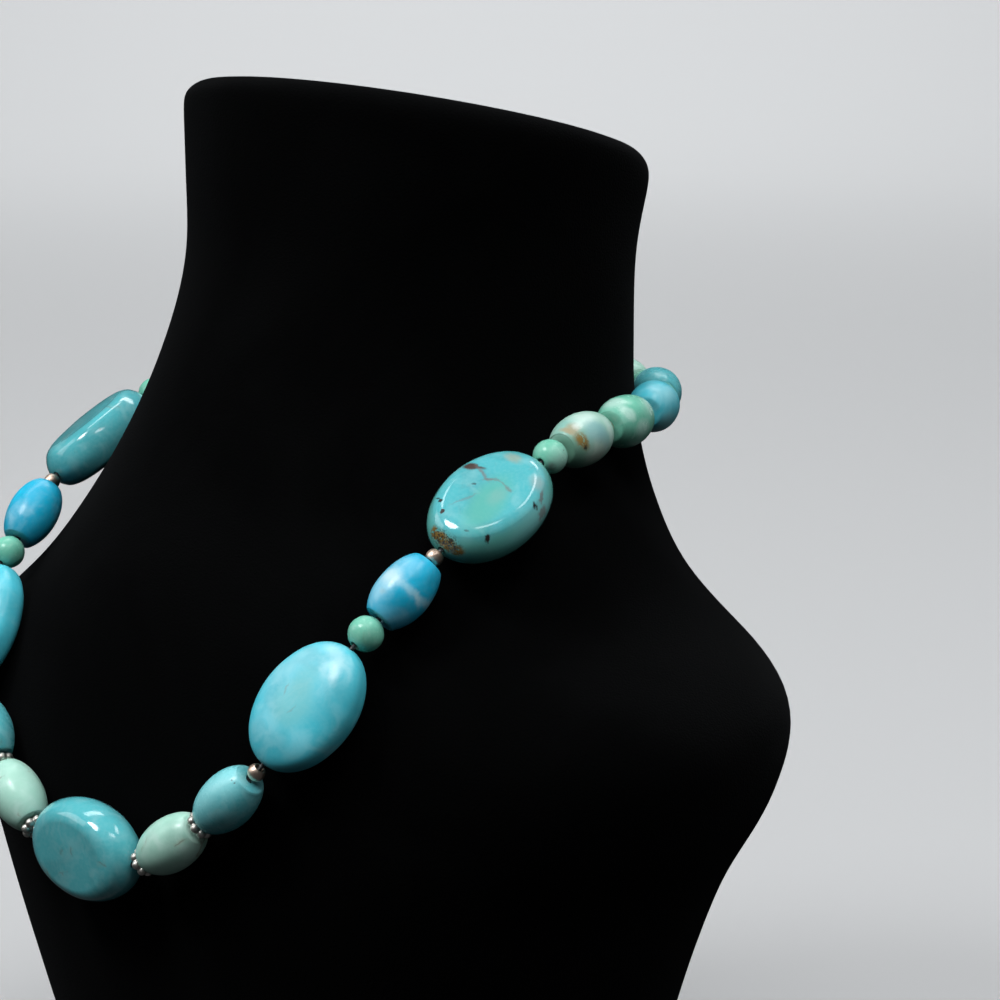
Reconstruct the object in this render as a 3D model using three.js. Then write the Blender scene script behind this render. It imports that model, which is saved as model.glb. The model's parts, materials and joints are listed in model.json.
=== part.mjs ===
// A turquoise bead necklace, closed round a plain velvet neck bust.
// Millimetres, +Z up. The bust's chest faces -Y, and the origin is the middle of the face that the bust stands on.
import * as THREE from 'three';

// Bust
const bustHeight = 195; // from the foot to the middle of the neck's top face
const baseWidth = 114;
const baseDepth = 90;
const shoulderWidth = 174;
const chestDepth = 121;
const neckWidth = 83;
const neckDepth = 84;
const neckSetBack = 15; // how far the neck stands behind the middle of the foot
const neckLean = 13; // degrees that the neck's top face tips back
const rimRadius = 5; // rounding of the neck's top edge
const footRadius = 3; // rounding of the bottom edge

// Beads
const threadDiameter = 0.8;
const boreDiameter = 1.5;
const ovalLength = 25;
const ovalWidth = 18;
const ovalThickness = 9;
const shortOvalLength = 23.5;
const shortOvalThickness = 8;
const ovalEndDiameter = 3;
const barrelLength = 12.5;
const barrelDiameter = 9.3;
const barrelEndDiameter = 5.4;
const roundDiameter = 6;
const spacerDiameter = 3;
const ballEndDiameter = 2.1; // flat round the drilled hole of the round beads and the spacers
const daisyDiameter = 5.2;
const daisyThickness = 1.7;
const daisyGrains = 8;
const daisyNotch = 0.35; // depth of the notch between two grains
const claspLength = 12;
const claspDiameter = 5.5;
const claspEndDiameter = 2.6;
const claspWaist = 0.4; // depth of the groove where the clasp screws together
const claspHoleDepth = 3;

// Fits
const beadGap = 0.35; // along the thread, between one bead and the next
const seatGap = 0.35; // between the velvet and a bead that lies on it
const threadRise = 0.09; // how steeply the thread may come off the velvet to pass through a thicker bead
const threadEndGap = 0.5; // between the thread's end and the bottom of its hole in the clasp

// Where the strand lies: its height behind the neck, on the bust's middle line, and how it falls from there.
// The drop at the chest isn't set here, because the length of the beads decides it.
const strandBackHeight = 150.2;
const strandFall = [
  { turn: 0, fall: 1 },
  { turn: 15, fall: 0.862 },
  { turn: 30, fall: 0.608 },
  { turn: 45, fall: 0.447 },
  { turn: 60, fall: 0.297 },
  { turn: 75, fall: 0.184 },
  { turn: 90, fall: 0.118 },
  { turn: 105, fall: 0.08 },
  { turn: 120, fall: 0.043 },
  { turn: 135, fall: 0.019 },
  { turn: 150, fall: 0.008 },
  { turn: 165, fall: 0.002 },
  { turn: 180, fall: 0 },
];

// One half of the string, from the middle bead round to the clasp. The other half is its mirror image.
const halfString = [
  'daisy', 'barrel', 'daisy', 'barrel', 'spacer', 'short_oval', 'round', 'barrel', 'spacer', 'oval',
  'round', 'barrel', 'spacer', 'barrel', 'spacer', 'barrel', 'round', 'barrel', 'round', 'barrel',
];
const faceRolls = { short_oval: -10, oval: -28 }; // degrees that those ovals are turned about the thread

// Level sections of the bust, at even steps from the foot to the neck's top face.
const bustSections = [
  { width: baseWidth, depth: baseDepth, back: 0, lean: 0 },
  { width: 0.7 * shoulderWidth, depth: 0.79 * chestDepth, back: -0.08 * neckSetBack, lean: 0 },
  { width: 0.755 * shoulderWidth, depth: 0.838 * chestDepth, back: -0.14 * neckSetBack, lean: 0 },
  { width: 0.817 * shoulderWidth, depth: 0.894 * chestDepth, back: -0.16 * neckSetBack, lean: 0 },
  { width: 0.889 * shoulderWidth, depth: 0.954 * chestDepth, back: -0.11 * neckSetBack, lean: 0 },
  { width: 0.994 * shoulderWidth, depth: chestDepth, back: 0.02 * neckSetBack, lean: 0 },
  { width: shoulderWidth, depth: chestDepth, back: 0.15 * neckSetBack, lean: 0 },
  { width: 0.733 * shoulderWidth, depth: 0.912 * chestDepth, back: 0.19 * neckSetBack, lean: 0.15 * neckLean },
  { width: 1.22 * neckWidth, depth: 1.176 * neckDepth, back: 0.47 * neckSetBack, lean: 0.44 * neckLean },
  { width: 1.022 * neckWidth, depth: 1.095 * neckDepth, back: 0.76 * neckSetBack, lean: 0.71 * neckLean },
  { width: 0.993 * neckWidth, depth: 1.002 * neckDepth, back: 0.97 * neckSetBack, lean: 0.96 * neckLean },
  { width: neckWidth, depth: neckDepth, back: neckSetBack, lean: neckLean },
  { width: 1.053 * neckWidth, depth: 1.033 * neckDepth, back: 1.13 * neckSetBack, lean: neckLean },
];

// Fineness of the meshes
const bustRings = 30;
const bustSides = 40;
const edgeSteps = 3;
const ovalSides = 16;
const barrelSides = 14;
const ballSides = 12;
const spacerSides = 10;
const threadSides = 8;

const velvet = new THREE.MeshStandardMaterial({ color: 0x060607, roughness: 1 });
const stones = {
  teal: new THREE.MeshStandardMaterial({ color: 0x5fb3b0, roughness: 0.2 }),
  sky: new THREE.MeshStandardMaterial({ color: 0x62bcd2, roughness: 0.4 }),
  blue: new THREE.MeshStandardMaterial({ color: 0x2f93c0, roughness: 0.3 }),
  green: new THREE.MeshStandardMaterial({ color: 0x7fbfa0, roughness: 0.3 }),
  pale: new THREE.MeshStandardMaterial({ color: 0xb4cfbd, roughness: 0.35 }),
};
const copperMetal = new THREE.MeshStandardMaterial({ color: 0xc79a84, roughness: 0.3, metalness: 1 });
const silverMetal = new THREE.MeshStandardMaterial({ color: 0xb7b2a8, roughness: 0.35, metalness: 1 });
const threadNylon = new THREE.MeshStandardMaterial({ color: 0x20262a, roughness: 0.6 });

// A smooth curve through evenly spaced values: share 0 is the first of them and share 1 the last.
function alongTable(values, share) {
  const last = values.length - 1;
  const place = THREE.MathUtils.clamp(share, 0, 1) * last;
  const here = Math.min(Math.floor(place), last - 1);
  const t = place - here;
  const [before, from, to, after] = [here - 1, here, here + 1, here + 2].map(
    (row) => values[THREE.MathUtils.clamp(row, 0, last)],
  );
  const startSlope = (to - before) / 2;
  const endSlope = (after - from) / 2;
  return (2 * from - 2 * to + startSlope + endSlope) * t ** 3
    + (3 * to - 3 * from - 2 * startSlope - endSlope) * t ** 2 + startSlope * t + from;
}

const sectionColumn = (name) => bustSections.map((section) => section[name]);
const widths = sectionColumn('width');
const depths = sectionColumn('depth');
const backs = sectionColumn('back');
const leans = sectionColumn('lean');

// A point of the bust's skin, drawn in by inset and raised by lift along the lean of its section.
// The share runs from the foot to the neck's top, and the turn in radians from the chest's middle towards +X.
function skinPoint(share, turn, inset = 0, lift = 0) {
  const lean = THREE.MathUtils.degToRad(alongTable(leans, share));
  const across = (alongTable(widths, share) / 2 - inset) * Math.sin(turn);
  const reach = -(alongTable(depths, share) / 2 - inset) * Math.cos(turn);
  return new THREE.Vector3(
    across,
    alongTable(backs, share) + reach * Math.cos(lean) + lift * Math.sin(lean),
    share * bustHeight - reach * Math.sin(lean) + lift * Math.cos(lean),
  );
}

// The skin's point, outward normal and slopes at a share and a turn.
function skinAt(share, turn) {
  const small = 1e-4;
  const point = skinPoint(share, turn);
  const perShare = skinPoint(share + small, turn).sub(skinPoint(share - small, turn)).divideScalar(2 * small);
  const perTurn = skinPoint(share, turn + small).sub(skinPoint(share, turn - small)).divideScalar(2 * small);
  const normal = perTurn.clone().cross(perShare).normalize();
  return { point, perShare, perTurn, normal };
}

// How far a point stands off the skin, found from a share and a turn near it.
function heightOverSkin(point, share, turn) {
  const steps = 5;
  for (let step = 0; step < steps; step++) {
    const skin = skinAt(share, turn);
    const off = point.clone().sub(skin.point);
    share += off.dot(skin.perShare) / skin.perShare.lengthSq();
    turn += off.dot(skin.perTurn) / skin.perTurn.lengthSq();
  }
  const skin = skinAt(share, turn);
  return point.clone().sub(skin.point).dot(skin.normal);
}

// A lathe's mesh whose rings are put in place by a function of the ring's number and the angle round it.
function reshapedLathe(ringCount, sides, closed, place) {
  const unit = Array.from({ length: ringCount }, (_, ring) => new THREE.Vector2(1, ring));
  const rings = closed ? [...unit, unit[0]] : unit;
  const geometry = new THREE.LatheGeometry(rings, sides);
  const spots = geometry.getAttribute('position');
  for (let side = 0; side <= sides; side++) {
    const angle = (2 * Math.PI * (side % sides)) / sides;
    rings.forEach((_, row) => {
      const spot = place(row % ringCount, angle);
      spots.setXYZ(side * rings.length + row, spot.x, spot.y, spot.z);
    });
  }
  geometry.computeVertexNormals();
  return geometry;
}

function bustGeometry() {
  const rings = [];
  const quarter = Math.PI / 2;
  const footInset = (angle) => footRadius * (1 - Math.sin(angle));
  const rimInset = (angle) => rimRadius * (1 - Math.cos(angle));
  const footTop = footRadius / bustHeight;
  const rimBottom = 1 - rimRadius / bustHeight;
  rings.push((turn) => skinPoint(0, turn).setX(0).setY(0));
  for (let step = 0; step < edgeSteps; step++) {
    const angle = (quarter * step) / edgeSteps;
    const share = footTop * (1 - Math.cos(angle));
    rings.push((turn) => skinPoint(share, turn, footInset(angle)));
  }
  for (let ring = 0; ring <= bustRings; ring++) {
    const share = THREE.MathUtils.lerp(footTop, rimBottom, ring / bustRings);
    rings.push((turn) => skinPoint(share, turn));
  }
  for (let step = 1; step <= edgeSteps; step++) {
    const angle = (quarter * step) / edgeSteps;
    rings.push((turn) => skinPoint(1, turn, rimInset(angle), rimRadius * (Math.sin(angle) - 1)));
  }
  const topMiddle = skinPoint(1, 0).add(skinPoint(1, Math.PI)).divideScalar(2);
  rings.push(() => topMiddle);
  return reshapedLathe(rings.length, bustSides, false, (ring, angle) => rings[ring](angle));
}

// The radius of a truncated ellipse at a share from -1 to 1 of its length.
function bulge(share, middleRadius, endRadius) {
  const cut = Math.sqrt(1 - (endRadius / middleRadius) ** 2);
  return middleRadius * Math.sqrt(1 - (share * cut) ** 2);
}

// A round bead along Y, drilled through.
function turnedBead(length, middleDiameter, endDiameter, sides, rings) {
  const shares = Array.from({ length: rings }, (_, ring) => -Math.cos((Math.PI * ring) / (rings - 1)));
  const profile = shares.map(
    (share) => new THREE.Vector2(bulge(share, middleDiameter / 2, endDiameter / 2), (share * length) / 2),
  );
  profile.push(new THREE.Vector2(boreDiameter / 2, length / 2), new THREE.Vector2(boreDiameter / 2, -length / 2));
  profile.push(profile[0].clone());
  return new THREE.LatheGeometry(profile, sides);
}

// The length that a ball keeps once its two ends are ground flat round the hole.
const groundLength = (diameter) => Math.sqrt(diameter ** 2 - ballEndDiameter ** 2);

// A puffed oval tablet: length along Y, width along X, thickness along Z.
function ovalBead(length, thickness) {
  const rings = 9;
  const outline = 2.1; // 2 is an ellipse, and more is squarer
  const flank = 3.4; // how long the face stays thick towards the ends
  const section = 3; // how square the cross section is
  const half = (size, share, power) => Math.max(
    (size / 2) * (1 - Math.abs(share) ** power) ** (1 / power),
    ovalEndDiameter / 2,
  );
  const superCos = (angle, power) => Math.sign(Math.cos(angle)) * Math.abs(Math.cos(angle)) ** (2 / power);
  const superSin = (angle, power) => Math.sign(Math.sin(angle)) * Math.abs(Math.sin(angle)) ** (2 / power);
  return reshapedLathe(rings + 2, ovalSides, true, (ring, angle) => {
    if (ring >= rings) {
      const end = ring === rings ? 1 : -1;
      const bore = boreDiameter / 2;
      return new THREE.Vector3(bore * Math.sin(angle), (end * length) / 2, bore * Math.cos(angle));
    }
    const share = -Math.cos((Math.PI * ring) / (rings - 1));
    const isEnd = ring === 0 || ring === rings - 1;
    const power = isEnd ? 2 : section;
    return new THREE.Vector3(
      half(ovalWidth, share, outline) * superSin(angle, power),
      (share * length) / 2,
      half(thickness, share, flank) * superCos(angle, power),
    );
  });
}

// A flat ring of grains round the hole, lying across Y.
function daisyBead() {
  const pointsPerGrain = 4;
  const points = daisyGrains * pointsPerGrain;
  const outline = Array.from({ length: points }, (_, index) => {
    const angle = (2 * Math.PI * index) / points;
    const notch = daisyNotch * Math.sin((Math.PI * (index % pointsPerGrain)) / pointsPerGrain) ** 2;
    return new THREE.Vector2(Math.cos(angle), Math.sin(angle)).multiplyScalar(daisyDiameter / 2 - notch);
  });
  const shape = new THREE.Shape(outline);
  shape.holes.push(new THREE.Path().absarc(0, 0, boreDiameter / 2, 0, 2 * Math.PI, true));
  const curveSegments = 6;
  const geometry = new THREE.ExtrudeGeometry(shape, { depth: daisyThickness, bevelEnabled: false, curveSegments });
  return geometry.translate(0, 0, -daisyThickness / 2).rotateX(Math.PI / 2);
}

// A plain closed barrel clasp along Y, with a blind hole for the thread in each end.
function claspGeometry() {
  const rings = 9;
  const middle = (rings - 1) / 2;
  const half = claspLength / 2;
  const bore = boreDiameter / 2;
  const floor = half - claspHoleDepth;
  const profile = [[0, -floor], [bore, -floor], [bore, -half]];
  for (let ring = 0; ring < rings; ring++) {
    const share = (ring - middle) / middle;
    const waist = ring === middle ? claspWaist : 0;
    profile.push([bulge(share, claspDiameter / 2, claspEndDiameter / 2) - waist, share * half]);
  }
  profile.push([bore, half], [bore, floor], [0, floor]);
  return new THREE.LatheGeometry(profile.map(([x, y]) => new THREE.Vector2(x, y)), ballSides);
}

const ballRings = 7;
const beadKinds = {
  oval: { length: ovalLength, endDiameter: ovalEndDiameter, geometry: ovalBead(ovalLength, ovalThickness) },
  short_oval: {
    length: shortOvalLength,
    endDiameter: ovalEndDiameter,
    geometry: ovalBead(shortOvalLength, shortOvalThickness),
  },
  barrel: {
    length: barrelLength,
    endDiameter: barrelEndDiameter,
    geometry: turnedBead(barrelLength, barrelDiameter, barrelEndDiameter, barrelSides, ballRings),
  },
  round: {
    length: groundLength(roundDiameter),
    endDiameter: ballEndDiameter,
    geometry: turnedBead(groundLength(roundDiameter), roundDiameter, ballEndDiameter, ballSides, ballRings),
  },
  spacer: {
    length: groundLength(spacerDiameter),
    endDiameter: ballEndDiameter,
    geometry: turnedBead(groundLength(spacerDiameter), spacerDiameter, ballEndDiameter, spacerSides, ballRings - 2),
  },
  daisy: { length: daisyThickness, endDiameter: daisyDiameter, geometry: daisyBead() },
  clasp: { length: claspLength, endDiameter: claspEndDiameter, geometry: claspGeometry() },
};

// Halves an interval until the condition, false at low and true at high, changes within it.
function firstTrue(low, high, condition) {
  const halvings = 40;
  for (let step = 0; step < halvings; step++) {
    const middle = (low + high) / 2;
    if (condition(middle)) high = middle;
    else low = middle;
  }
  return high;
}

// How far down the bust the strand has come at a turn, as a share of the bust's height.
const falls = strandFall.map((row) => row.fall);
const mirroredFalls = [...falls.slice(1).reverse(), ...falls, ...falls.slice(0, -1).reverse()];
function strandShare(turn, drop) {
  const turns = 3 * Math.PI;
  const fall = alongTable(mirroredFalls, (turn + Math.PI) / turns);
  return (strandBackHeight - drop * fall) / bustHeight;
}

function strandPoint(turn, drop, lift) {
  const skin = skinAt(strandShare(turn, drop), turn);
  return skin.point.addScaledVector(skin.normal, lift);
}

// The joints between the beads of one half, from the middle bead's end to the clasp's.
function layJoints(drop, lifts, gaps) {
  const halfMiddle = (beadKinds.oval.length + gaps[0]) / 2;
  const firstTurn = firstTrue(0, Math.PI / 2, (turn) => strandPoint(turn, drop, lifts[0]).x > halfMiddle);
  const joints = [{ turn: firstTurn, point: strandPoint(firstTurn, drop, lifts[0]), gap: gaps[0] }];
  halfString.forEach((kind, index) => {
    const from = joints[index];
    const lift = lifts[index + 1];
    const gap = gaps[index + 1];
    const span = beadKinds[kind].length + (from.gap + gap) / 2;
    const turn = firstTrue(from.turn, from.turn + Math.PI / 2, (angle) => (
      strandPoint(angle, drop, lift).distanceTo(from.point) > span
    ));
    joints.push({ turn, point: strandPoint(turn, drop, lift), gap });
  });
  return joints;
}

const mirrored = ({ turn, point, gap }) => ({ turn: -turn, point: point.clone().setX(-point.x), gap });

// Axes of a bead between two joints: Y along the thread and, before it is rolled, Z away from the skin.
function beadMatrix(from, to, roll = 0) {
  const turn = (from.turn + to.turn) / 2;
  const along = to.point.clone().sub(from.point).normalize();
  const middle = from.point.clone().add(to.point).divideScalar(2);
  middle.addScaledVector(along, (from.gap - to.gap) / 4);
  const outward = skinAt(strandShare(turn, strandDrop), turn).normal;
  outward.addScaledVector(along, -outward.dot(along)).normalize();
  const across = along.clone().cross(outward);
  const rolled = new THREE.Matrix4().makeRotationY(THREE.MathUtils.degToRad(roll));
  return new THREE.Matrix4().makeBasis(across, along, outward).setPosition(middle).multiply(rolled);
}

// The least height of a bead over the skin.
function beadHeight(kind, from, to, roll) {
  const matrix = beadMatrix(from, to, roll);
  const turn = (from.turn + to.turn) / 2;
  const share = strandShare(turn, strandDrop);
  const spots = beadKinds[kind].geometry.getAttribute('position');
  let least = Infinity;
  for (let index = 0; index < spots.count; index++) {
    const spot = new THREE.Vector3().fromBufferAttribute(spots, index);
    if (Math.hypot(spot.x, spot.z) < boreDiameter) continue;
    least = Math.min(least, heightOverSkin(spot.applyMatrix4(matrix), share, turn));
  }
  return least;
}

// The whole string of one half, with the middle bead before its first joint and the clasp after its last.
const stringKinds = ['oval', ...halfString, 'clasp'];
const rollOf = (index) => faceRolls[halfString[index]] ?? 0;
const withNeighbours = (joints) => [mirrored(joints[0]), ...joints, {
  ...mirrored(joints.at(-1)),
  turn: 2 * Math.PI - joints.at(-1).turn,
}];

// How far the joints must rise for each bead to clear the velvet, with no joint far below its neighbours.
function raisedLifts(lifts, stations) {
  const raised = [...lifts];
  stringKinds.forEach((kind, index) => {
    const missing = seatGap - beadHeight(kind, stations[index], stations[index + 1], rollOf(index - 1));
    for (const joint of [index - 1, index]) {
      if (lifts[joint] !== undefined) raised[joint] = Math.max(raised[joint], lifts[joint] + missing);
    }
  });
  const follow = (joint, other) => {
    const span = stations[joint + 1].point.distanceTo(stations[other + 1].point);
    raised[joint] = Math.max(raised[joint], raised[other] - threadRise * span);
  };
  for (let joint = 1; joint < raised.length; joint++) follow(joint, joint - 1);
  for (let joint = raised.length - 2; joint >= 0; joint--) follow(joint, joint + 1);
  return raised;
}

// Where the string bends, the ends of two beads meet on the inner side, so the gap on the thread opens.
function openedGaps(stations) {
  const chord = (index) => stations[index + 1].point.clone().sub(stations[index].point);
  return stringKinds.slice(1).map((kind, index) => {
    const bend = chord(index).angleTo(chord(index + 1));
    const endRadii = (beadKinds[stringKinds[index]].endDiameter + beadKinds[kind].endDiameter) / 2;
    return beadGap + endRadii * Math.sin(bend / 2);
  });
}

// The drop at the chest lets the loop close at the clasp.
const halfClasp = (gaps) => (claspLength + gaps.at(-1)) / 2;
const closesBehind = (joint, gaps) => joint.point.x > halfClasp(gaps) && joint.turn < Math.PI;
const leastDrop = 0.1 * bustHeight;
const mostDrop = 0.7 * bustHeight;
let strandDrop = (leastDrop + mostDrop) / 2;
let lifts = Array(halfString.length + 1).fill(roundDiameter / 2 + seatGap);
let gaps = lifts.map(() => beadGap);
let joints = [];
const seatingRounds = 10;
for (let round = 0; round < seatingRounds; round++) {
  strandDrop = firstTrue(leastDrop, mostDrop, (drop) => (
    closesBehind(layJoints(drop, lifts, gaps).at(-1), gaps)
  ));
  joints = layJoints(strandDrop, lifts, gaps);
  const stations = withNeighbours(joints);
  lifts = raisedLifts(lifts, stations);
  gaps = openedGaps(stations);
}

// The thread's middle line, straight through each bead and bent only between two of them.
class ThreadRoute extends THREE.Curve {
  constructor(knots) {
    super();
    this.knots = knots;
  }

  getUtoTmapping(share) {
    return share;
  }

  getPoint(share, target = new THREE.Vector3()) {
    const last = this.knots.length - 1;
    const place = THREE.MathUtils.clamp(share, 0, 1) * last;
    const here = Math.min(Math.floor(place), last - 1);
    return target.lerpVectors(this.knots[here], this.knots[here + 1], place - here);
  }
}

function threadGeometry() {
  const half = joints.map((joint) => joint.point);
  const last = half.at(-1);
  const reach = last.clone().setX(claspLength / 2 - claspHoleDepth + threadEndGap);
  const right = [...half, reach];
  const left = right.map((point) => point.clone().setX(-point.x)).reverse();
  const knots = [...left, ...right];
  const section = new THREE.Shape();
  section.absarc(0, 0, threadDiameter / 2, 0, 2 * Math.PI, false);
  return new THREE.ExtrudeGeometry(section, {
    steps: knots.length - 1,
    curveSegments: threadSides,
    extrudePath: new ThreadRoute(knots),
  });
}

const necklaceOnBust = new THREE.Group();

function addPiece(name, geometry, material, matrix = new THREE.Matrix4()) {
  const mesh = new THREE.Mesh(geometry, material);
  mesh.name = name;
  mesh.applyMatrix4(matrix);
  necklaceOnBust.add(mesh);
}

// The stones of one half in their order from the middle bead.
const stoneOrder = {
  barrel: ['pale', 'teal', 'blue', 'pale', 'green', 'sky', 'teal', 'pale'],
  short_oval: ['sky'],
  oval: ['teal'],
  round: ['green', 'green', 'green', 'green'],
};

function addHalf(side, place, rollSign) {
  halfString.forEach((kind, index) => {
    const count = halfString.slice(0, index + 1).filter((other) => other === kind).length;
    const metal = kind === 'daisy' ? silverMetal : copperMetal;
    const stone = stoneOrder[kind]?.[count - 1];
    const matrix = beadMatrix(place(joints[index]), place(joints[index + 1]), rollSign * rollOf(index));
    addPiece(`${side}_${kind}_${count}`, beadKinds[kind].geometry, stones[stone] ?? metal, matrix);
  });
}

addPiece('neck_bust', bustGeometry(), velvet);
addPiece('middle_oval', beadKinds.oval.geometry, stones.teal, beadMatrix(mirrored(joints[0]), joints[0]));
addHalf('right', (joint) => joint, 1);
addHalf('left', mirrored, -1);
addPiece('clasp', beadKinds.clasp.geometry, silverMetal, beadMatrix(...withNeighbours(joints).slice(-2)));
addPiece('thread', threadGeometry(), threadNylon);

export default necklaceOnBust;
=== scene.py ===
# A turquoise bead necklace on a black velvet neck bust: its looks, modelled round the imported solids.
import json
import math
import random

import bmesh
import bpy
import numpy as np
from bpy.props import FloatProperty, FloatVectorProperty, IntProperty, PointerProperty
from mathutils import Matrix, Vector, noise


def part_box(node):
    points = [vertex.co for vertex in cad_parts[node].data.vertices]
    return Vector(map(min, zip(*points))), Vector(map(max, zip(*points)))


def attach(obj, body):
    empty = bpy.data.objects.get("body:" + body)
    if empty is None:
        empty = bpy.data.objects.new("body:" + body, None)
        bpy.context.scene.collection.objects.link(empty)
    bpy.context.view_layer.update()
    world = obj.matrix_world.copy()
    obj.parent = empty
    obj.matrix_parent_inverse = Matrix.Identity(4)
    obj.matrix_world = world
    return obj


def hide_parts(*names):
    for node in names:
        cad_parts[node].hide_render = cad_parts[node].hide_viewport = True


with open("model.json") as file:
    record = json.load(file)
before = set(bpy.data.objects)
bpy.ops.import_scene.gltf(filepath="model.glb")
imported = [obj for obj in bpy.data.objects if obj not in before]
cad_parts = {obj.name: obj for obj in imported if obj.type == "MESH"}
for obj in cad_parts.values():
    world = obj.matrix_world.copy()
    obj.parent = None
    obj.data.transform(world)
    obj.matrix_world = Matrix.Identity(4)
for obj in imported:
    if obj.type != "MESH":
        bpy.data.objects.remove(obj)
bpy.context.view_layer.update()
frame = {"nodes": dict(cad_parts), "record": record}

bl_info = {
    "name": "Turquoise Bead Necklace",
    "version": (1, 0, 0),
    "blender": (4, 5, 0),
    "location": "3D Viewport > Sidebar > Necklace",
    "description": "Beads, thread, velvet bust and studio of a turquoise necklace",
    "category": "Object",
}

MILLIMETRE = 0.001
UP = Vector((0, 0, 1))
THREAD_AXIS = Vector((0, 1, 0))  # the thread's way through a bead, in the bead's own axes
ACROSS, ALONG, OUTWARD = 0, 1, 2  # columns of a bead's place
SHARP_ANGLE = math.radians(40)  # edges sharper than this stay crisp
FINE_RELIEF = 0.05 * MILLIMETRE  # depth of pits, dents and strands

# How strongly each layer shows over a stone's body colour, and how rough its surface is.
STONE_LAYERS = {
    "teal_stone": {"patch": 0.35, "cloud": 0.3, "vein": 0.0, "matrix": 0.3, "gloss": 0.26},
    "sky_stone": {"patch": 0.45, "cloud": 0.35, "vein": 0.0, "matrix": 0.04, "gloss": 0.34},
    "blue_stone": {"patch": 0.5, "cloud": 0.3, "vein": 0.1, "matrix": 0.0, "gloss": 0.3},
    "green_stone": {"patch": 0.35, "cloud": 0.3, "vein": 0.0, "matrix": 0.08, "gloss": 0.22},
    "pale_stone": {"patch": 0.45, "cloud": 0.6, "vein": 0.15, "matrix": 0.45, "gloss": 0.3},
}


def colour_property(name, description, default):
    return FloatVectorProperty(
        name=name, description=description, default=default, size=3, min=0, max=1, subtype="COLOR"
    )


def length_property(name, description, default):
    return FloatProperty(
        name=name, description=description, default=default, min=0, unit="LENGTH", subtype="DISTANCE"
    )


class NecklaceBustSettings(bpy.types.PropertyGroup):
    pile: length_property("Pile", "How far the velvet stands off the solid bust", 0.45 * MILLIMETRE)
    velvet: colour_property("Velvet", "Colour of the pile", (0.0018, 0.0019, 0.002))
    sheen: FloatProperty(
        name="Sheen", description="Light caught by the pile's tips", default=0.012, min=0, max=1
    )
    smoothing: IntProperty(
        name="Smoothing", description="Subdivision of the bust's skin", default=2, min=0, max=3
    )


class NecklaceBeadSettings(bpy.types.PropertyGroup):
    bore: length_property("Bore", "Diameter of the drilled hole", 1.5 * MILLIMETRE)
    face_share: FloatProperty(
        name="Face", description="Width of an oval's face as a share of its outline",
        default=0.79, min=0.3, max=0.95,
    )
    crown: length_property("Crown", "How far an oval's face rises to its middle", 0.3 * MILLIMETRE)
    shoulder: length_property("Shoulder", "Rounding between an oval's face and its wall", 1.1 * MILLIMETRE)
    puff: FloatProperty(
        name="Puff", description="Power of a short oval's section: 2 is an ellipse", default=2.7, min=2, max=6
    )
    end_rounding: length_property("End rounding", "Rounding of a barrel's flat ends", 0.4 * MILLIMETRE)
    hand_cut: length_property("Hand cut", "How uneven the hand-cut stones are", 0.09 * MILLIMETRE)
    steps: IntProperty(name="Steps", description="Steps round a bead", default=64, min=16, max=128)


class NecklaceColourSettings(bpy.types.PropertyGroup):
    teal_stone: colour_property("Teal", "Body colour of the teal turquoise", (0.08, 0.42, 0.47))
    sky_stone: colour_property("Sky", "Body colour of the sky blue turquoise", (0.06, 0.5, 0.62))
    blue_stone: colour_property("Blue", "Body colour of the cerulean turquoise", (0.008, 0.41, 0.64))
    green_stone: colour_property("Green", "Body colour of the green turquoise", (0.15, 0.5, 0.37))
    pale_stone: colour_property("Pale", "Body colour of the pale mint turquoise", (0.34, 0.62, 0.52))
    matrix: colour_property("Matrix", "Brown of the rock matrix", (0.018, 0.014, 0.013))
    tan: colour_property("Tan", "Tan of the weathered matrix", (0.36, 0.31, 0.19))
    chalk: colour_property("Chalk", "White of the chalky veins", (0.72, 0.84, 0.82))
    copper: colour_property("Copper", "Rose-coloured metal of the spacers", (0.97, 0.76, 0.62))
    silver: colour_property("Silver", "Antique silver", (0.8, 0.78, 0.73))
    thread: colour_property("Thread", "Beading wire", (0.02, 0.024, 0.026))


class NecklaceStageSettings(bpy.types.PropertyGroup):
    floor_reach: length_property("Floor reach", "From the bust to where the backdrop rises", 2.4)
    backdrop_height: length_property("Backdrop height", "Height of the backdrop", 2.2)
    floor_colour: colour_property("Floor", "Pale grey of floor and backdrop", (0.33, 0.337, 0.345))
    lens: FloatProperty(name="Lens", description="Focal length in millimetres", default=105, min=20, max=300)
    camera_place: FloatVectorProperty(
        name="Camera", description="Where the camera stands", default=(0.3802, -0.3675, 0.2275),
        size=3, unit="LENGTH", subtype="XYZ",
    )
    camera_azimuth: FloatProperty(
        name="Azimuth", description="Angle of the view round the bust", default=math.radians(43.1),
        unit="ROTATION", subtype="ANGLE",
    )
    camera_elevation: FloatProperty(
        name="Elevation", description="Angle of the view over the horizon", default=math.radians(10.9),
        unit="ROTATION", subtype="ANGLE",
    )
    key_power: FloatProperty(
        name="Key", description="Power of the key light", default=9, min=0, unit="POWER"
    )
    rim_power: FloatProperty(
        name="Strips", description="Power of a metre of the strips that edge the stones",
        default=3.5, min=0, unit="POWER",
    )
    side_power: FloatProperty(
        name="Sides", description="Power of the soft lights round the bust", default=3, min=0, unit="POWER"
    )
    top_power: FloatProperty(
        name="Top", description="Power of the soft light over the bust", default=15, min=0, unit="POWER"
    )
    backdrop_power: FloatProperty(
        name="Backdrop", description="Power of the wide light over the far floor",
        default=160, min=0, unit="POWER",
    )
    ambient: FloatProperty(
        name="Ambient", description="Strength of the room's light", default=0.03, min=0, max=5
    )


# Geometry

def merged_copy(node):
    """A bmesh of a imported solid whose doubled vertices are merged."""
    shape = bmesh.new()
    shape.from_mesh(frame["nodes"][node].data)
    bmesh.ops.remove_doubles(shape, verts=shape.verts, dist=0.001 * MILLIMETRE)
    return shape


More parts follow.
